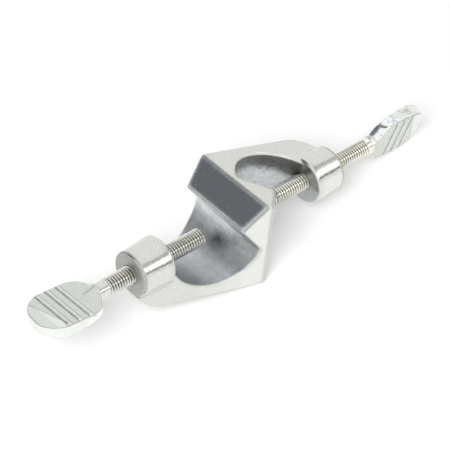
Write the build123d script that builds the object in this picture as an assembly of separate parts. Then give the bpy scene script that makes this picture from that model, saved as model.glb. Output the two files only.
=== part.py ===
import os
from copy import copy
from math import hypot

from build123d import *

# Casting. Lengths are in millimetres from its middle, and X runs along both screws
half_width = 16.2
front_taper_share = 0.28
back_taper_share = 0.34
wall_taper_share = 0.07
nose_shoulder_x = 1.2
nose_tip_x = 9.0
nose_tip_reach = 8.95
groove_x = 1.7
groove_depth = 1.2
groove_round = 0.9
channel_sag = 10.0
boss_inner_x = 30.4
boss_length = 12.1
boss_diameter = 16.4
boss_end_diameter = 14.8
arm_end_round = 10.0
casting_edge_round = 1.0
boss_rim_round = 0.9

# Threaded studs
thread_diameter = 6.0
tip_chamfer = 0.8
neck_diameter = 5.5
spigot_diameter = 3.4
stand_tip_x = 16.0
stand_thread_length = 42.6
stand_neck_length = 2.0
cross_tip_x = 13.2
cross_thread_length = 38.7
cross_neck_length = 3.4

# Thumb heads. Turns are in degrees
blade_start = 0.5
blade_length = 23.1
blade_width = 17.8
blade_thickness = 4.2
blade_skew_turn = 8.0
blade_edge_round = 0.7
blade_neck_round_share = 0.42
blade_tip_round_share = 0.44
hub_diameter = 6.6
hub_length = 7.0
hub_end_diameter = 3.6
hub_edge_round = 0.5
shoulder_start = 0.6
shoulder_slope_share = 1.35
tip_bevel_length = 3.8
tip_thickness = 3.2
ridge_count = 3
ridge_pitch = 3.7
ridge_first = 9.1
ridge_radius = 1.0
ridge_height = 0.35
socket_depth = 6.0
stand_head_turn = 104.0
cross_head_turn = 94.5

# Fits and overrun
running_clearance = 0.05
socket_end_gap = 0.6
overrun = 5.0

boss_outer_x = boss_inner_x + boss_length
boss_radius = boss_diameter / 2
boss_end_radius = boss_end_diameter / 2
thread_radius = thread_diameter / 2
neck_radius = neck_diameter / 2
spigot_radius = spigot_diameter / 2
hub_radius = hub_diameter / 2
hub_end_radius = hub_end_diameter / 2
half_turn = 180.0
turn_axis = Axis((0, 0, 0), (0, -1, 1))


def front_y(x):
    return -(half_width - front_taper_share * abs(x))


def back_y(x):
    return half_width - back_taper_share * abs(x)


def wall_y(x):
    return half_width - wall_taper_share * abs(x)


# Plan of the casting: one jaw on the right, the tapered back of the other jaw on the left
left_front = (-boss_outer_x, front_y(boss_outer_x))
middle_front = (0, front_y(0))
shoulder = (nose_shoulder_x, front_y(0))
nose_tip = (nose_tip_x, -nose_tip_reach)
groove = (groove_x, groove_depth)
boss_inner = (boss_inner_x, 0)
boss_outer = (boss_outer_x, 0)
arm_end = (boss_outer_x, wall_y(boss_outer_x))
middle_back = (0, back_y(0))
left_back = (-boss_outer_x, back_y(boss_outer_x))

jaw_side = Polyline(left_front, middle_front, shoulder, nose_tip, groove)
channel = SagittaArc(groove, boss_inner, channel_sag)
arm_side = Polyline(boss_inner, boss_outer, arm_end, middle_back, left_back, left_front)
plan = make_face(jaw_side.edges() + channel.edges() + arm_side.edges())


def near(shape, point):
    return shape.vertices().sort_by_distance(Vector(*point))[0]


plan = fillet(near(plan, arm_end), arm_end_round)
plan = fillet(near(plan, groove), groove_round)

# The same plan, turned over, shapes the other jaw
slab = extrude(plan, amount=half_width + overrun, both=True)
core = slab & slab.rotate(turn_axis, half_turn)


def in_boss(edge):
    middle = edge.center()
    off_axis = hypot(middle.Y, middle.Z)
    return abs(middle.X) > boss_inner_x - boss_rim_round and off_axis < boss_radius


outer_edges = [edge for edge in core.edges() if not in_boss(edge)]
core = fillet(outer_edges, casting_edge_round)


def barrel(start_x, radius, length):
    return extrude(Plane((start_x, 0, 0), (0, 1, 0), (1, 0, 0)) * Circle(radius), length)


boss_section = Polyline(
    (boss_inner_x, 0),
    (boss_inner_x, boss_radius),
    (boss_outer_x, boss_end_radius),
    (boss_outer_x, 0),
    (boss_inner_x, 0),
)
boss = revolve(make_face(boss_section.edges()), Axis.X)
boss = fillet(boss.edges().filter_by(GeomType.CIRCLE), boss_rim_round)
bore_start = boss_inner_x - overrun
bore = barrel(bore_start, thread_radius + running_clearance, boss_length + overrun + overrun)
casting = core + boss + boss.rotate(turn_axis, half_turn)
casting = casting - bore - bore.rotate(turn_axis, half_turn)


# A stud: bevelled tip, plain thread body at full diameter, a bare neck, and a spigot inside the head
def stud(thread_length, neck_length):
    neck_end = thread_length + neck_length - running_clearance
    spigot_end = thread_length + neck_length + socket_depth - socket_end_gap
    section = Polyline(
        (0, 0),
        (0, thread_radius - tip_chamfer),
        (tip_chamfer, thread_radius),
        (thread_length, thread_radius),
        (thread_length, neck_radius),
        (neck_end, neck_radius),
        (neck_end, spigot_radius),
        (spigot_end, spigot_radius),
        (spigot_end, 0),
        (0, 0),
    )
    return revolve(make_face(section.edges()), Axis.X)


# Blade of a thumb head: a thick oval paddle whose two faces are turned against each other, so its rim leans
def blade_outline():
    outline = Rectangle(blade_length, blade_width)
    outline = fillet(outline.vertices().group_by(Axis.X)[-1], blade_tip_round_share * blade_width)
    outline = fillet(outline.vertices().group_by(Axis.X)[0], blade_neck_round_share * blade_width)
    return outline


def blade_face(turn):
    return Pos(blade_start + blade_length / 2, 0) * Rot(0, 0, turn) * blade_outline()


# The paddle thins towards its tip by a flat bevel on each face
def tip_wedge():
    face_height = blade_thickness / 2
    tip_height = tip_thickness / 2
    bevel_slope = (face_height - tip_height) / tip_bevel_length
    blade_end = blade_start + blade_length
    wedge_end = blade_end + tip_height / bevel_slope
    root_height = wedge_end * bevel_slope
    section = Polyline((0, -root_height), (wedge_end, 0), (0, root_height), (0, -root_height))
    return extrude(Plane.XZ * make_face(section.edges()), blade_width, both=True)


# Cone that forms the shoulders, from the round hub out to the paddle's sides
def shoulder_cone():
    cone_end = blade_start + blade_length + overrun
    cone_radius = hub_radius + shoulder_slope_share * (cone_end - shoulder_start)
    section = Polyline(
        (0, 0),
        (0, hub_radius),
        (shoulder_start, hub_radius),
        (cone_end, cone_radius),
        (cone_end, 0),
        (0, 0),
    )
    return revolve(make_face(section.edges()), Axis.X)


def hub():
    section = Polyline(
        (0, 0),
        (0, hub_radius),
        (hub_length, hub_end_radius),
        (hub_length, 0),
        (0, 0),
    )
    turned = revolve(make_face(section.edges()), Axis.X)
    return fillet(turned.edges().group_by(Axis.X)[0], hub_edge_round)


# A thumb head: the paddle with grip ridges across both faces, on a tapered hub with a socket for the spigot
def thumb_head():
    face_height = blade_thickness / 2
    upper = blade_face(-blade_skew_turn)
    lower = blade_face(blade_skew_turn)
    blade = loft([Pos(0, 0, -face_height) * lower, Pos(0, 0, face_height) * upper])
    rim = [edge for edge in blade.edges() if abs(edge.center().Z) > running_clearance]
    blade = fillet(rim, blade_edge_round) & tip_wedge() & shoulder_cone()
    bead_height = face_height + ridge_height - ridge_radius
    bead_section = Plane.XZ * Pos(ridge_first, bead_height) * Circle(ridge_radius)
    bead = extrude(bead_section, blade_width, both=True)
    grip_area = extrude(offset(upper, -blade_edge_round), blade_thickness)
    for index in range(ridge_count):
        ridge = Pos(index * ridge_pitch, 0, 0) * bead & grip_area
        blade = blade + ridge + ridge.rotate(Axis.X, half_turn)
    socket = barrel(-overrun, spigot_radius + running_clearance, overrun + socket_depth)
    return blade + hub() - socket


# Both screws point at the middle: the cross rod's comes from the left, the stand rod's from the right
def place(shape, tip_x, turn):
    return Pos(tip_x, 0, 0) * shape.rotate(Axis.X, turn)


stand_stud = place(stud(stand_thread_length, stand_neck_length), stand_tip_x, 0)
cross_stud = place(stud(cross_thread_length, cross_neck_length), cross_tip_x, 0).rotate(turn_axis, half_turn)
stand_head_x = stand_tip_x + stand_thread_length + stand_neck_length
cross_head_x = cross_tip_x + cross_thread_length + cross_neck_length
stand_head = place(thumb_head(), stand_head_x, stand_head_turn)
cross_head = place(thumb_head(), cross_head_x, cross_head_turn).rotate(turn_axis, half_turn)

pieces = {
    "boss_head_casting": casting,
    "stand_rod_stud": stand_stud,
    "stand_rod_thumb_head": stand_head,
    "cross_rod_stud": cross_stud,
    "cross_rod_thumb_head": cross_head,
}

# The origin goes under the middle of the whole object
whole = Compound(children=[copy(piece) for piece in pieces.values()]).bounding_box()
lift = Pos(-(whole.min.X + whole.max.X) / 2, -(whole.min.Y + whole.max.Y) / 2, -whole.min.Z)
os.makedirs("parts", exist_ok=True)
for name, piece in pieces.items():
    placed = lift * piece
    placed.label = name
    export_step(placed, f"parts/{name}.step")
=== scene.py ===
import math

import bmesh
import bpy
from mathutils import Euler, Matrix, Vector


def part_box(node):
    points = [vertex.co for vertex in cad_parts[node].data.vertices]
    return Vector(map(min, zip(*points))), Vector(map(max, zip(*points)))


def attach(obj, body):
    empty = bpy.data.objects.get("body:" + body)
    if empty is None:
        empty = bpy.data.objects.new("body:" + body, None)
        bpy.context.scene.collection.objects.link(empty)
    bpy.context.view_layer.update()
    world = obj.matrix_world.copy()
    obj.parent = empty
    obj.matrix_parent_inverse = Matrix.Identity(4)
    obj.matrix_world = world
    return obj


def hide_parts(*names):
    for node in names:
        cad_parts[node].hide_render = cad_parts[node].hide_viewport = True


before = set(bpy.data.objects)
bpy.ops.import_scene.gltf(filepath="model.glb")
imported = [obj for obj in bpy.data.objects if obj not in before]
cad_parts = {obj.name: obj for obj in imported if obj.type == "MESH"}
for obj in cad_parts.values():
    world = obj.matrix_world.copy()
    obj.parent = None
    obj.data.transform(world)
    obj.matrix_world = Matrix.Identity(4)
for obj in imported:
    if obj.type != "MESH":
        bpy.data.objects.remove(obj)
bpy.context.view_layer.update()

# Camera: lengths in metres, angles in degrees, for a square image. It aims beside the casting's middle
CAMERA_AIM_OFFSET = Vector((-0.00265, 0.00059, -0.00169))
CAMERA_AZIMUTH = -45.71
CAMERA_ELEVATION = 42.19
CAMERA_ROLL = 6.04
CAMERA_DISTANCE = 0.634
CAMERA_LENS_MM = 160.0
CAMERA_SENSOR_MM = 36.0

# Screw threads, in metres
THREAD_RADIUS = 0.0030
THREAD_PITCH = 0.0010
THREAD_DEPTH = 0.00061
THREAD_STEPS = 48
TIP_CHAMFER = 0.0008
NECK_RADIUS = 0.00275
NECK_LENGTHS = {"stand": 0.0020, "cross": 0.0034}
SPIGOT_RADIUS = 0.0017
# One pitch of the thread, as (share of the pitch, share of the depth)
THREAD_PROFILE_SHARES = ((0.0, 1.0), (0.14, 1.0), (0.32, 0.5), (0.5, 0.0), (0.64, 0.0), (0.82, 0.5))
MERGE_DISTANCE = THREAD_PITCH / 1000
SHARP_ANGLE = math.radians(35)

# Thumb heads: metres from the start of the head, and the way its faces and sides look
RIDGE_FIRST = 0.0091
RIDGE_PITCH = 0.0037
RIDGE_COUNT = 3
RIDGE_FOOT = 0.00085
RIDGE_HALF_WIDTH = 0.00076
RIDGE_SOFTENING = 0.00022
HUB_END = 0.0054
SHOULDER_END = 0.0105
HEAD_FACES = {"stand": (0.0, -0.970, -0.242), "cross": (0.0, 0.078, 0.997)}
HEAD_SIDES = {"stand": (0.0, -0.242, 0.970), "cross": (0.0, -0.997, 0.078)}
TIP_CUT_LEAN = math.radians(16)
TIP_CUT_REACH = 0.0180
HEAD_EDGE_WEAR = 0.0005

# Casting: where its bosses and jaws are, in metres from its middle, and the way its two nose faces look
BOSS_START = 0.0300
BOSS_END = 0.0420
BOSS_RADIUS = 0.0084
JAW_START = 0.0010
JAW_INWARD = -0.0090
# A painted reflection of the screw, dark along the top of the right jaw's wall
JAW_BAND_HEIGHT = 0.0128
JAW_BAND_SLOPE = 0.42
JAW_BAND_FADE = 0.0012
JAW_BAND_COVER = 0.95
# A dark spot on the left jaw's wall: its middle and its radius
JAW_DARK_SPOT = (-0.0056, 0.0005, -0.0064)
JAW_DARK_SPOT_RADIUS = 0.0042
JAW_SHADE_START = 0.0080
JAW_SHADE_END = 0.0280
JAW_SHADE_COVER = 0.8
# Painted light: the front faces are painted lighter over this stretch along x
LIT_FRONT_START = -0.0250
LIT_FRONT_END = -0.0050
NOSE_REACH = 0.0120
NOSE_BACK = -0.0040
NOSE_HEIGHT = 0.0065
NOSE_FACES = ((0.68, -0.73, 0.0), (-0.68, 0.0, 0.73))
NOSE_PLANE = 0.0126
NOSE_LIP = 0.0015
NOSE_ROUND = 0.0014
EDGE_WEAR = 0.0006
NOSE_EDGE_WEAR = 0.0026
EDGE_SAMPLES = 6

# Over these lengths one finish fades into the next, in metres
FADE = 0.0010
WIDE_FADE = 0.0020

# Range of a noise that is spread over a surface's tones
NOISE_RANGE = (0.30, 0.70)
STAIN_RANGE = (0.34, 0.66)

# Darkest and lightest tone of each surface, and the colours of single marks
PLAIN_TONES = ((0.60, 0.61, 0.575), (0.78, 0.79, 0.755))
# Lighter tones painted on the front faces, as painted light
LIT_FRONT_TONES = ((0.70, 0.71, 0.675), (0.87, 0.88, 0.845))
# Tones of the boss ends, painted darker as painted shade
SHADED_END_TONES = ((0.38, 0.39, 0.37), (0.57, 0.58, 0.56))
NOSE_TONES = ((0.58, 0.60, 0.62), (0.70, 0.72, 0.74))
STAIN_TONES = ((0.52, 0.545, 0.565), (0.92, 0.94, 0.95))
# Tones of the painted reflection on the right jaw's wall
REFLECTION_BAND_TONES = ((0.16, 0.165, 0.165), (0.34, 0.345, 0.34))
# Painted shade in the crease where each boss meets the arm's front face
CREASE_SHADE_COLOUR = (0.46, 0.465, 0.45)
JAW_SHADE_COLOUR = (0.34, 0.345, 0.355)
JAW_DARK_SPOT_COLOUR = (0.20, 0.205, 0.21)
# Thread tones, darker on the left screw than on the right one
LEFT_STUD_TONES = ((0.64, 0.635, 0.60), (0.80, 0.795, 0.755))
RIGHT_STUD_TONES = ((0.82, 0.81, 0.745), (0.95, 0.94, 0.875))
# Painted shade in the roots of the thread
ROOT_SHADE_COLOUR = (0.15, 0.146, 0.13)
PLATED_TONES = ((0.56, 0.585, 0.55), (0.74, 0.765, 0.72))
# Painted highlight on the heads' rims, tips and ridge crests
HIGHLIGHT_TONES = ((0.74, 0.76, 0.72), (0.88, 0.90, 0.86))
# Painted reflection on each head's shoulder: white, with blue-grey streaks
SHOULDER_REFLECTION_TONES = ((0.92, 0.93, 0.93), (0.62, 0.68, 0.73))
# Painted shade for the dark lines on the heads
LINE_SHADE_COLOUR = (0.46, 0.47, 0.45)

# Dullest and glossiest finish of each surface, as roughness
SATIN_FINISH = (0.30, 0.42)
GLOSSY_FINISH = (0.13, 0.19)
STAIN_FINISH = (0.32, 0.44)
THREAD_FINISH = (0.12, 0.22)
PLATED_FINISH = (0.22, 0.32)
SPECK_ROUGHNESS = 0.6
SAWN_ROUGHNESS = 0.55
RIDGE_ROUGHNESS = 0.5
SHOULDER_ROUGHNESS = 0.13

# Floor and light. Lengths are in metres
FLOOR_SIZE = 8.0
FLOOR_COLOUR = (0.9, 0.9, 0.9, 1.0)
FLOOR_GLOW = 0.15
WHITE = (1.0, 1.0, 1.0, 1.0)
BLACK = (0.0, 0.0, 0.0, 1.0)
WORLD_FILL = 0.6
WORLD_SEEN = 1.0
KEY_DIRECTION = (-0.66, -0.36, 0.66)
KEY_DISTANCE = 1.2
KEY_SIZE = 0.6
KEY_POWER = 9.5

# Cards that only reflections see: direction, distance, width, height, and the light they give
CARDS = {
    "dark_flag": ((-0.48, 0.65, 0.59), 0.60, 0.64, 0.66, (0.18, 0.19, 0.20)),
    "key_box": ((-0.33, -0.66, 0.67), 1.10, 0.80, 0.60, (1.6, 1.6, 1.6)),
    "ceiling_gap": ((0.53, -0.36, 0.77), 0.80, 0.60, 0.20, (0.55, 0.55, 0.55)),
    "right_softbox": ((0.53, -0.64, 0.54), 0.80, 0.60, 0.22, (2.0, 2.0, 2.0)),
    "softbox_gap": ((0.53, -0.80, 0.29), 0.80, 0.60, 0.09, (0.06, 0.06, 0.06)),
}


def set_or_link(tree, socket, value):
    """Gives a socket a number or colour, or links it to another node's output."""
    if isinstance(value, bpy.types.NodeSocket):
        tree.links.new(value, socket)
    elif isinstance(value, tuple):
        socket.default_value = (*value, 1.0)
    else:
        socket.default_value = value


def new_material(name):
    """A material with its node tree and its shader."""
    material = bpy.data.materials.new(name)
    material.use_nodes = True
    tree = material.node_tree
    return material, tree, tree.nodes["Principled BSDF"]


def vector_math(tree, operation, vector, constant):
    """A vector joined with a constant one."""
    node = tree.nodes.new("ShaderNodeVectorMath")
    node.operation = operation
    node.inputs[1].default_value = constant
    tree.links.new(vector, node.inputs[0])
    return node.outputs


def object_place(tree, origin):
    """Object coordinates measured from an origin."""
    coords = tree.nodes.new("ShaderNodeTexCoord").outputs["Object"]
    return vector_math(tree, "SUBTRACT", coords, origin)["Vector"]


def object_normal(tree):
    return tree.nodes.new("ShaderNodeTexCoord").outputs["Normal"]


def facing(tree, normal, direction):
    """How much a surface looks in a direction, from -1 to 1, or how far a place lies in it."""
    return vector_math(tree, "DOT_PRODUCT", normal, direction)["Value"]


def distance_from(tree, place, point):
    return vector_math(tree, "DISTANCE", place, point)["Value"]


def stretched(tree, place, shares):
    """Coordinates drawn out along an axis, for streaks that run along it."""
    return vector_math(tree, "MULTIPLY", place, shares)["Vector"]


def separate(tree, vector):
    node = tree.nodes.new("ShaderNodeSeparateXYZ")
    tree.links.new(vector, node.inputs["Vector"])
    return node.outputs["X"], node.outputs["Y"], node.outputs["Z"]


def calculate(tree, operation, first, second=0.0):
    node = tree.nodes.new("ShaderNodeMath")
    node.operation = operation
    set_or_link(tree, node.inputs[0], first)
    set_or_link(tree, node.inputs[1], second)
    return node.outputs["Value"]


def joined(tree, operation, values):
    result = values[0]
    for value in values[1:]:
        result = calculate(tree, operation, result, value)
    return result


def product(tree, *factors):
    return joined(tree, "MULTIPLY", factors)


def total(tree, *terms):
    return joined(tree, "ADD", terms)


def highest(tree, *values):
    return joined(tree, "MAXIMUM", values)


def absolute(tree, value):
    return calculate(tree, "ABSOLUTE", value)


def negative(tree, value):
    return calculate(tree, "MULTIPLY", value, -1.0)


def off_axis(tree, y, z):
    """Distance from the axis of the two screws."""
    return calculate(tree, "SQRT", total(tree, product(tree, y, y), product(tree, z, z)))


def noise(tree, coords, scale, detail=4.0, roughness=0.5):
    node = tree.nodes.new("ShaderNodeTexNoise")
    node.inputs["Scale"].default_value = scale
    node.inputs["Detail"].default_value = detail
    node.inputs["Roughness"].default_value = roughness
    tree.links.new(coords, node.inputs["Vector"])
    return node.outputs["Fac"]


def spread(tree, value, low, high, low_out=0.0, high_out=1.0):
    """Maps low to high on a value to low_out to high_out, clamped."""
    node = tree.nodes.new("ShaderNodeMapRange")
    node.inputs["From Min"].default_value = low
    node.inputs["From Max"].default_value = high
    set_or_link(tree, node.inputs["To Min"], low_out)
    set_or_link(tree, node.inputs["To Max"], high_out)
    tree.links.new(value, node.inputs["Value"])
    return node.outputs["Result"]


def mixed_colour(tree, factor, first, second):
    node = tree.nodes.new("ShaderNodeMix")
    node.data_type = "RGBA"
    set_or_link(tree, node.inputs["A"], first)
    set_or_link(tree, node.inputs["B"], second)
    tree.links.new(factor, node.inputs["Factor"])
    return node.outputs["Result"]


def mixed_value(tree, factor, first, second):
    return spread(tree, factor, 0.0, 1.0, first, second)


def worn_normal(tree, radius):
    """The surface's normal with its edges rounded over."""
    node = tree.nodes.new("ShaderNodeBevel")
    node.samples = EDGE_SAMPLES
    set_or_link(tree, node.inputs["Radius"], radius)
    return node.outputs["Normal"]


def bump(tree, height, strength, distance, under=None):
    node = tree.nodes.new("ShaderNodeBump")
    set_or_link(tree, node.inputs["Strength"], strength)
    node.inputs["Distance"].default_value = distance
    tree.links.new(height, node.inputs["Height"])
    if under is not None:
        tree.links.new(under, node.inputs["Normal"])
    return node.outputs["Normal"]


def fine_grain(tree, grain, under):
    """The faint grain of a tumbled surface."""
    return bump(tree, grain, 0.35, 0.00003, under)


def finish_metal(tree, shader, colour, roughness, normal):
    shader.inputs["Metallic"].default_value = 1.0
    tree.links.new(colour, shader.inputs["Base Color"])
    tree.links.new(roughness, shader.inputs["Roughness"])
    tree.links.new(normal, shader.inputs["Normal"])


def middle_of(name):
    low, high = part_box(name)
    return (low + high) / 2


def jaw_mask(tree, along, inward, looking, sideways):
    """The hollow wall of one jaw."""
    return product(
        tree,
        spread(tree, along, JAW_START, JAW_START + FADE),
        spread(tree, along, BOSS_START + FADE, BOSS_START),
        spread(tree, inward, JAW_INWARD, JAW_INWARD + FADE),
        spread(tree, looking, 0.65, 0.55),
        spread(tree, absolute(tree, sideways), 0.30, 0.10),
    )


def nose_mask(tree, along, outward):
    """The surroundings of one nose, whose edges are worn round."""
    return product(
        tree,
        spread(tree, along, NOSE_REACH, NOSE_REACH - WIDE_FADE),
        spread(tree, along, NOSE_BACK, NOSE_BACK + WIDE_FADE),
        spread(tree, outward, NOSE_HEIGHT, NOSE_HEIGHT + WIDE_FADE),
    )


def nose_lip(tree, place, face):
    """Height by which the faces round one nose fall away towards it, as worn edges do."""
    near_face = calculate(tree, "ADD", facing(tree, place, face), NOSE_LIP - NOSE_PLANE)
    lip = calculate(tree, "MINIMUM", highest(tree, near_face, 0.0), NOSE_LIP)
    return product(tree, lip, lip, -0.5 / NOSE_ROUND)


def jaw_reflection_band(tree, x, z, stain):
    """A painted reflection of the screw: the dark upper part of the right jaw's wall, with an uneven edge.
    """
    height = total(tree, z, product(tree, x, JAW_BAND_SLOPE))
    edge = total(tree, height, spread(tree, stain, *NOISE_RANGE, -JAW_BAND_FADE, JAW_BAND_FADE))
    low = JAW_BAND_HEIGHT - JAW_BAND_FADE
    high = JAW_BAND_HEIGHT + JAW_BAND_FADE
    return product(tree, spread(tree, x, 0.0, WIDE_FADE), spread(tree, edge, low, high, 0.0, JAW_BAND_COVER))


def die_cast_metal():
    """Satin die casting: smoother bosses and nose faces and stained jaws, with painted light on the front
    faces, painted shade in the left jaw, in the creases by the bosses and on the boss ends, and a painted
    reflection of the screw on the right jaw.
    """
    material, tree, shader = new_material("die_cast")
    place = object_place(tree, middle_of("boss_head_casting"))
    normal = object_normal(tree)
    x, y, z = separate(tree, place)
    _, n_y, n_z = separate(tree, normal)
    minus_x = negative(tree, x)
    half_length = absolute(tree, x)
    axis_distance = off_axis(tree, y, z)

    grain = noise(tree, place, 2200.0, 6.0, 0.65)
    mottle = noise(tree, place, 900.0, 6.0, 0.65)
    stain = noise(tree, place, 320.0, 8.0, 0.7)
    left_streaks = noise(tree, stretched(tree, place, (1.0, 0.12, 1.0)), 700.0, 6.0, 0.6)
    streaks = mixed_value(tree, spread(tree, x, -FADE, FADE), left_streaks, mottle)
    specks = spread(tree, noise(tree, place, 1100.0, 3.0, 0.7), 0.68, 0.74)

    boss = product(
        tree,
        spread(tree, half_length, BOSS_START, BOSS_START + 0.0008),
        spread(tree, axis_distance, BOSS_RADIUS + 0.0004, BOSS_RADIUS),
    )
    # The outer ends of the bosses: a duller finish, and painted darker as painted shade
    sawn_shaded_end = product(tree, boss, spread(tree, half_length, BOSS_END - FADE, BOSS_END - 0.0002))
    from_boss = absolute(tree, calculate(tree, "SUBTRACT", axis_distance, BOSS_RADIUS))
    # Painted shade: a dark line in the crease where each boss meets the arm's front face
    crease_shade = product(
        tree,
        spread(tree, n_y, 0.0, -0.2),
        spread(tree, half_length, BOSS_START, BOSS_START + WIDE_FADE),
        spread(tree, from_boss, 0.0004, 0.0001),
        spread(tree, mottle, 0.2, 0.6),
    )
    right_jaw = jaw_mask(tree, x, y, n_y, n_z)
    left_jaw = jaw_mask(tree, minus_x, negative(tree, z), negative(tree, n_z), n_y)
    jaws = highest(tree, right_jaw, left_jaw)
    nose_looks = [facing(tree, normal, direction) for direction in NOSE_FACES]
    nose = spread(tree, highest(tree, *nose_looks), 0.93, 0.985)
    nose_zone = highest(tree, nose_mask(tree, x, negative(tree, y)), nose_mask(tree, minus_x, z))
    smooth = highest(tree, calculate(tree, "SUBTRACT", boss, sawn_shaded_end), nose)
    # Painted light: faces turned to -y are painted in lighter tones
    lit_front_faces = product(
        tree,
        spread(tree, n_y, -0.8, -0.95),
        spread(tree, x, LIT_FRONT_START, LIT_FRONT_END),
    )
    shade = spread(tree, minus_x, JAW_SHADE_START, JAW_SHADE_END, 0.0, JAW_SHADE_COVER)
    # A dark spot on the left jaw's wall, with an uneven edge
    jaw_dark_spot = product(
        tree,
        spread(tree, distance_from(tree, place, JAW_DARK_SPOT), JAW_DARK_SPOT_RADIUS, JAW_DARK_SPOT_RADIUS / 4),
        spread(tree, stain, 0.25, 0.55),
    )

    plain_tone = total(
        tree,
        spread(tree, grain, *NOISE_RANGE, 0.0, 0.6),
        spread(tree, mottle, *NOISE_RANGE, 0.0, 0.4),
    )
    stain_tone = total(
        tree,
        spread(tree, streaks, *STAIN_RANGE, 0.0, 0.3),
        spread(tree, stain, *STAIN_RANGE, 0.0, 0.4),
        spread(tree, mottle, *STAIN_RANGE, 0.0, 0.3),
    )
    plain = mixed_colour(tree, plain_tone, *PLAIN_TONES)
    plain = mixed_colour(tree, lit_front_faces, plain, mixed_colour(tree, plain_tone, *LIT_FRONT_TONES))
    plain = mixed_colour(tree, crease_shade, plain, CREASE_SHADE_COLOUR)
    plain = mixed_colour(tree, sawn_shaded_end, plain, mixed_colour(tree, plain_tone, *SHADED_END_TONES))
    plain = mixed_colour(tree, nose, plain, mixed_colour(tree, plain_tone, *NOSE_TONES))
    # The jaws' stain, with painted shade in the left jaw and a painted reflection on the right one laid over
    # it
    stain_shade_and_reflection = mixed_colour(tree, stain_tone, *STAIN_TONES)
    stain_shade_and_reflection = mixed_colour(tree, shade, stain_shade_and_reflection, JAW_SHADE_COLOUR)
    reflection_band = jaw_reflection_band(tree, x, z, stain)
    stain_shade_and_reflection = mixed_colour(tree, reflection_band, stain_shade_and_reflection, mixed_colour(tree, stain_tone, *REFLECTION_BAND_TONES))
    stain_shade_and_reflection = mixed_colour(tree, jaw_dark_spot, stain_shade_and_reflection, JAW_DARK_SPOT_COLOUR)
    colour = mixed_colour(tree, jaws, plain, stain_shade_and_reflection)

    satin = spread(tree, mottle, *NOISE_RANGE, *SATIN_FINISH)
    satin = mixed_value(tree, sawn_shaded_end, satin, SAWN_ROUGHNESS)
    glossy = spread(tree, mottle, *NOISE_RANGE, *GLOSSY_FINISH)
    glossy = mixed_value(tree, product(tree, nose, specks), glossy, SPECK_ROUGHNESS)
    dull = spread(tree, stain, *NOISE_RANGE, *STAIN_FINISH)
    roughness = mixed_value(tree, jaws, mixed_value(tree, smooth, satin, glossy), dull)

    edges = worn_normal(tree, mixed_value(tree, nose_zone, EDGE_WEAR, NOSE_EDGE_WEAR))
    lips = total(tree, *[nose_lip(tree, place, face) for face in NOSE_FACES])
    edges = bump(tree, lips, nose_zone, 1.0, edges)
    waves = bump(tree, noise(tree, place, 180.0, 2.0), 0.5, 0.00025, edges)
    finish_metal(tree, shader, colour, roughness, fine_grain(tree, grain, waves))
    return material


def thread_metal():
    """Nickel, bright on the crests of the thread with painted shade in its roots, and darker on the left
    screw.
    """
    material, tree, shader = new_material("nickel_thread")
    place = object_place(tree, middle_of("boss_head_casting"))
    x, y, z = separate(tree, place)
    height = off_axis(tree, y, z)
    crest = spread(tree, height, THREAD_RADIUS - THREAD_DEPTH, THREAD_RADIUS - THREAD_DEPTH / 2)
    blotches = noise(tree, place, 900.0)
    tone = spread(tree, blotches, *NOISE_RANGE)
    left_stud_tone = mixed_colour(tree, tone, *LEFT_STUD_TONES)
    right_stud_tone = mixed_colour(tree, tone, *RIGHT_STUD_TONES)
    bright = mixed_colour(tree, spread(tree, x, -FADE, FADE), left_stud_tone, right_stud_tone)
    colour = mixed_colour(tree, crest, ROOT_SHADE_COLOUR, bright)
    roughness = spread(tree, blotches, *NOISE_RANGE, *THREAD_FINISH)
    scratches = bump(tree, noise(tree, place, 5000.0, 2.0), 0.3, 0.00002)
    finish_metal(tree, shader, colour, roughness, scratches)
    return material


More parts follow.
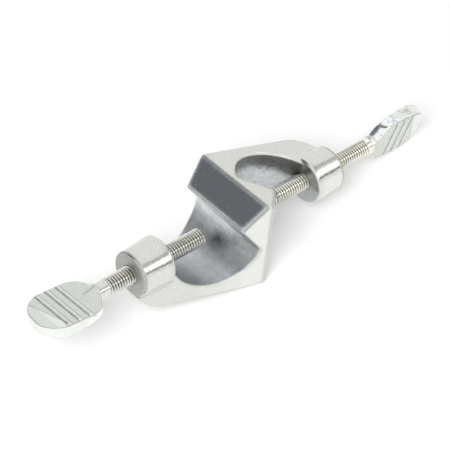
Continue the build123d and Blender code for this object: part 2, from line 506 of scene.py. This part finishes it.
def thumb_metal(side, start, along):
    """Tumbled plating of a thumb head, with painted shade at the foot of each grip ridge, along the tip's
    cut and at the face's edge, painted highlights on rim, tip and crests, and a painted reflection on its
    shoulder.
    """
    material, tree, shader = new_material(f"{side}_thumb_head")
    place = object_place(tree, (start, *middle_of(f"{side}_rod_stud").yz))
    grain = noise(tree, place, 2600.0, 6.0, 0.65)
    blotches = noise(tree, place, 600.0, 5.0, 0.6)
    reach = product(tree, separate(tree, place)[0], float(along))
    across = facing(tree, place, HEAD_SIDES[side])
    flat = absolute(tree, facing(tree, object_normal(tree), HEAD_FACES[side]))
    face = spread(tree, flat, 0.6, 0.8)
    rim = spread(tree, flat, 0.6, 0.45)

    ridge_share = calculate(tree, "DIVIDE", calculate(tree, "SUBTRACT", reach, RIDGE_FIRST), RIDGE_PITCH)
    off_ridge = calculate(tree, "SUBTRACT", ridge_share, calculate(tree, "ROUND", ridge_share))
    from_ridge = product(tree, absolute(tree, off_ridge), RIDGE_PITCH)
    from_foot = absolute(tree, calculate(tree, "SUBTRACT", from_ridge, RIDGE_FOOT))
    grip = product(
        tree,
        spread(tree, ridge_share, -0.45, -0.40),
        spread(tree, ridge_share, RIDGE_COUNT - 0.55, RIDGE_COUNT - 0.60),
        spread(tree, flat, 0.35, 0.55),
    )
    foot = product(tree, grip, spread(tree, from_foot, 0.00016, 0.00004))
    crest = product(tree, grip, spread(tree, from_ridge, 0.00075, 0.00055))
    ridges = product(tree, grip, spread(tree, from_ridge, 0.0011, 0.0009))

    cut = total(
        tree,
        product(tree, reach, math.cos(TIP_CUT_LEAN)),
        product(tree, across, math.sin(TIP_CUT_LEAN)),
    )
    tip = product(tree, spread(tree, cut, TIP_CUT_REACH, TIP_CUT_REACH + 0.0003), face)
    from_cut = absolute(tree, calculate(tree, "SUBTRACT", cut, TIP_CUT_REACH))
    cut_line = product(tree, spread(tree, from_cut, 0.00022, 0.00008), face)
    edge_line = product(
        tree,
        spread(tree, flat, 0.45, 0.6),
        spread(tree, flat, 0.95, 0.85),
        spread(tree, reach, HUB_END, HUB_END + FADE),
    )
    # Painted shade: dark lines at the ridge feet, along the tip's cut and at the face's edge
    lines = highest(tree, foot, cut_line, edge_line)
    line_shade = product(tree, lines, spread(tree, blotches, 0.25, 0.55))
    shoulder = product(tree, rim, spread(tree, reach, SHOULDER_END, SHOULDER_END - 0.0015))
    streaks = spread(tree, noise(tree, place, 420.0, 3.0, 0.6), 0.54, 0.62)

    tone = total(
        tree,
        spread(tree, grain, *NOISE_RANGE, 0.0, 0.6),
        spread(tree, blotches, *NOISE_RANGE, 0.0, 0.4),
    )
    colour = mixed_colour(tree, tone, *PLATED_TONES)
    # Painted highlight: the rim, the tip and the ridge crests are painted lighter
    painted_highlight = highest(tree, rim, tip, crest)
    colour = mixed_colour(tree, painted_highlight, colour, mixed_colour(tree, tone, *HIGHLIGHT_TONES))
    # Painted reflection on the shoulder, white with blue-grey streaks, on a glossier finish
    colour = mixed_colour(tree, shoulder, colour, mixed_colour(tree, streaks, *SHOULDER_REFLECTION_TONES))
    colour = mixed_colour(tree, line_shade, colour, LINE_SHADE_COLOUR)

    roughness = spread(tree, blotches, *NOISE_RANGE, *PLATED_FINISH)
    roughness = mixed_value(tree, ridges, roughness, RIDGE_ROUGHNESS)
    roughness = mixed_value(tree, shoulder, roughness, SHOULDER_ROUGHNESS)

    from_middle = product(tree, from_ridge, from_ridge)
    ridge_height = spread(tree, from_middle, 0.0, RIDGE_HALF_WIDTH ** 2, -RIDGE_SOFTENING, 0.0)
    softened = bump(tree, product(tree, grip, ridge_height), 1.0, 1.0, worn_normal(tree, HEAD_EDGE_WEAR))
    finish_metal(tree, shader, colour, roughness, fine_grain(tree, grain, softened))
    return material


CASTING = die_cast_metal()
NICKEL = thread_metal()


def dress(name, material):
    """Gives a solid its material."""
    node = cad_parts[name]
    node.data.materials.clear()
    node.data.materials.append(material)


def thread_depth(pitches):
    """Share of the full depth, at a place counted in pitches from the start of a crest."""
    share = pitches % 1.0
    corners = (*THREAD_PROFILE_SHARES, (1.0, 1.0))
    for (start, low), (end, high) in zip(corners, corners[1:]):
        if share <= end:
            return low + (high - low) * (share - start) / (end - start)


def stud_radius(x, lead, thread_length):
    """Radius of the thread at x from the tip, where the helix leads by a share of a turn."""
    depth = THREAD_DEPTH * (1.0 - thread_depth(x / THREAD_PITCH - lead))
    tip_cone = THREAD_RADIUS - TIP_CHAMFER + x
    run_out = NECK_RADIUS + thread_length - x
    return min(THREAD_RADIUS - depth, tip_cone, max(run_out, NECK_RADIUS))


def stud_line(lead, thread_length, neck_length, whole_length):
    """Places along the stud, as (x, radius), where the helix leads by a share of a turn."""
    turns = math.ceil(thread_length / THREAD_PITCH) + 1
    neck_end = thread_length + neck_length
    places = []
    for turn in range(-1, turns):
        for share, _ in THREAD_PROFILE_SHARES:
            x = min(max((turn + share + lead) * THREAD_PITCH, 0.0), thread_length)
            places.append((x, stud_radius(x, lead, thread_length)))
    places += [(thread_length, NECK_RADIUS), (neck_end, NECK_RADIUS)]
    places += [(neck_end, SPIGOT_RADIUS), (whole_length, SPIGOT_RADIUS)]
    return places


def threaded_stud(name, thread_length, neck_length, whole_length):
    """A stud along +X from its tip: a right-hand thread, a bare neck and the spigot inside the head."""
    mesh = bmesh.new()
    lines = []
    for step in range(THREAD_STEPS + 1):
        lead = step / THREAD_STEPS
        angle = 2 * math.pi * lead
        places = stud_line(lead, thread_length, neck_length, whole_length)
        lines.append([mesh.verts.new((x, r * math.cos(angle), r * math.sin(angle))) for x, r in places])
    for line, beside in zip(lines, lines[1:]):
        for index in range(len(line) - 1):
            mesh.faces.new((line[index], beside[index], beside[index + 1], line[index + 1]))
    bmesh.ops.remove_doubles(mesh, verts=mesh.verts, dist=MERGE_DISTANCE)
    bmesh.ops.holes_fill(mesh, edges=[edge for edge in mesh.edges if edge.is_boundary], sides=0)
    bmesh.ops.dissolve_degenerate(mesh, edges=mesh.edges, dist=MERGE_DISTANCE)
    bmesh.ops.recalc_face_normals(mesh, faces=mesh.faces)
    for face in mesh.faces:
        face.smooth = True
    for edge in mesh.edges:
        edge.smooth = edge.is_manifold and edge.calc_face_angle(0.0) < SHARP_ANGLE
    data = bpy.data.meshes.new(name)
    mesh.to_mesh(data)
    mesh.free()
    piece = bpy.data.objects.new(name, data)
    bpy.context.scene.collection.objects.link(piece)
    return piece


def dress_screw(side, along):
    """Puts a threaded stud in place of the plain one and finishes its head."""
    stud_low, stud_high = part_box(f"{side}_rod_stud")
    head_low, head_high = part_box(f"{side}_rod_thumb_head")
    tip = stud_low.x if along > 0 else stud_high.x
    head_start = head_low.x if along > 0 else head_high.x
    neck_length = NECK_LENGTHS[side]
    thread_length = abs(head_start - tip) - neck_length
    piece = threaded_stud(f"{side}_screw_thread", thread_length, neck_length, stud_high.x - stud_low.x)
    middle = middle_of(f"{side}_rod_stud")
    turned = Matrix.Rotation(0.0 if along > 0 else math.pi, 4, "Z")
    piece.data.transform(Matrix.Translation((tip, middle.y, middle.z)) @ turned)
    piece.data.materials.append(NICKEL)
    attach(piece, f"{side}_stud")
    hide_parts(f"{side}_rod_stud")
    dress(f"{side}_rod_thumb_head", thumb_metal(side, head_start, along))


def seen_directly(tree):
    """1 for rays of the camera, of a reflection or through glass, and 0 for light that falls on things."""
    path = tree.nodes.new("ShaderNodeLightPath").outputs
    return highest(tree, path["Is Glossy Ray"], path["Is Transmission Ray"], path["Is Camera Ray"])


def lay_floor():
    """A pale floor, which lies as a table does under the casting's lowest edge and the right thumb head."""
    head_low, head_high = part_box("stand_rod_thumb_head")
    casting_low, casting_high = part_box("boss_head_casting")
    ridge_x = (casting_low.x + casting_high.x) / 2
    lean = math.atan2(head_low.z - casting_low.z, (head_low.x + head_high.x) / 2 - ridge_x)
    bpy.ops.mesh.primitive_plane_add(size=FLOOR_SIZE, location=(ridge_x, 0, casting_low.z))
    floor = bpy.context.object
    floor.name = "floor"
    floor.rotation_euler = (0, -lean, 0)
    material, tree, shader = new_material("floor")
    shader.inputs["Base Color"].default_value = FLOOR_COLOUR
    shader.inputs["Roughness"].default_value = 1.0
    shader.inputs["Specular IOR Level"].default_value = 0.0
    shader.inputs["Emission Color"].default_value = WHITE
    glow = mixed_value(tree, seen_directly(tree), 0.0, FLOOR_GLOW)
    tree.links.new(glow, shader.inputs["Emission Strength"])
    floor.data.materials.append(material)


def light_world():
    """White where the camera or a reflection looks, and a softer fill for everything else."""
    world = bpy.data.worlds.new("studio")
    bpy.context.scene.world = world
    world.use_nodes = True
    tree = world.node_tree
    background = tree.nodes["Background"]
    background.inputs["Color"].default_value = WHITE
    strength = mixed_value(tree, seen_directly(tree), WORLD_FILL, WORLD_SEEN)
    tree.links.new(strength, background.inputs["Strength"])


def camera_aim():
    return middle_of("boss_head_casting") + CAMERA_AIM_OFFSET


def face_aim(place, direction, distance):
    """Sets a lamp or card at a distance from the object, facing it."""
    towards = Vector(direction).normalized()
    place.location = camera_aim() + towards * distance
    place.rotation_euler = towards.to_track_quat("Z", "Y").to_euler()


def add_softbox(name, direction, distance, size, power):
    lamp = bpy.data.lights.new(name, "AREA")
    lamp.shape = "SQUARE"
    lamp.size = size
    lamp.energy = power
    place = bpy.data.objects.new(name, lamp)
    place.visible_glossy = False
    bpy.context.scene.collection.objects.link(place)
    face_aim(place, direction, distance)


def add_card(name, direction, distance, width, height, light):
    """A studio card that shows only in reflections."""
    bpy.ops.mesh.primitive_plane_add(size=1.0)
    card = bpy.context.object
    card.name = name
    card.scale = (width, height, 1.0)
    face_aim(card, direction, distance)
    material, _, shader = new_material(name)
    shader.inputs["Base Color"].default_value = BLACK
    shader.inputs["Specular IOR Level"].default_value = 0.0
    shader.inputs["Emission Color"].default_value = (*light, 1.0)
    shader.inputs["Emission Strength"].default_value = 1.0
    card.data.materials.append(material)
    card.visible_camera = False
    card.visible_diffuse = False
    card.visible_shadow = False


def add_camera():
    data = bpy.data.cameras.new("camera")
    data.lens = CAMERA_LENS_MM
    data.sensor_width = CAMERA_SENSOR_MM
    camera = bpy.data.objects.new("camera", data)
    bpy.context.scene.collection.objects.link(camera)
    azimuth = math.radians(CAMERA_AZIMUTH)
    elevation = math.radians(CAMERA_ELEVATION)
    back = Vector((
        math.sin(azimuth) * math.cos(elevation),
        -math.cos(azimuth) * math.cos(elevation),
        math.sin(elevation),
    ))
    level = (-back).to_track_quat("-Z", "Y")
    rolled = level @ Euler((0, 0, math.radians(CAMERA_ROLL))).to_quaternion()
    camera.location = camera_aim() + back * CAMERA_DISTANCE
    camera.rotation_mode = "QUATERNION"
    camera.rotation_quaternion = rolled
    bpy.context.scene.camera = camera


dress("boss_head_casting", CASTING)
dress_screw("stand", 1)
dress_screw("cross", -1)
lay_floor()
light_world()
add_softbox("key", KEY_DIRECTION, KEY_DISTANCE, KEY_SIZE, KEY_POWER)
for card_name, settings in CARDS.items():
    add_card(card_name, *settings)
add_camera()
bpy.context.scene.view_settings.view_transform = "Standard"
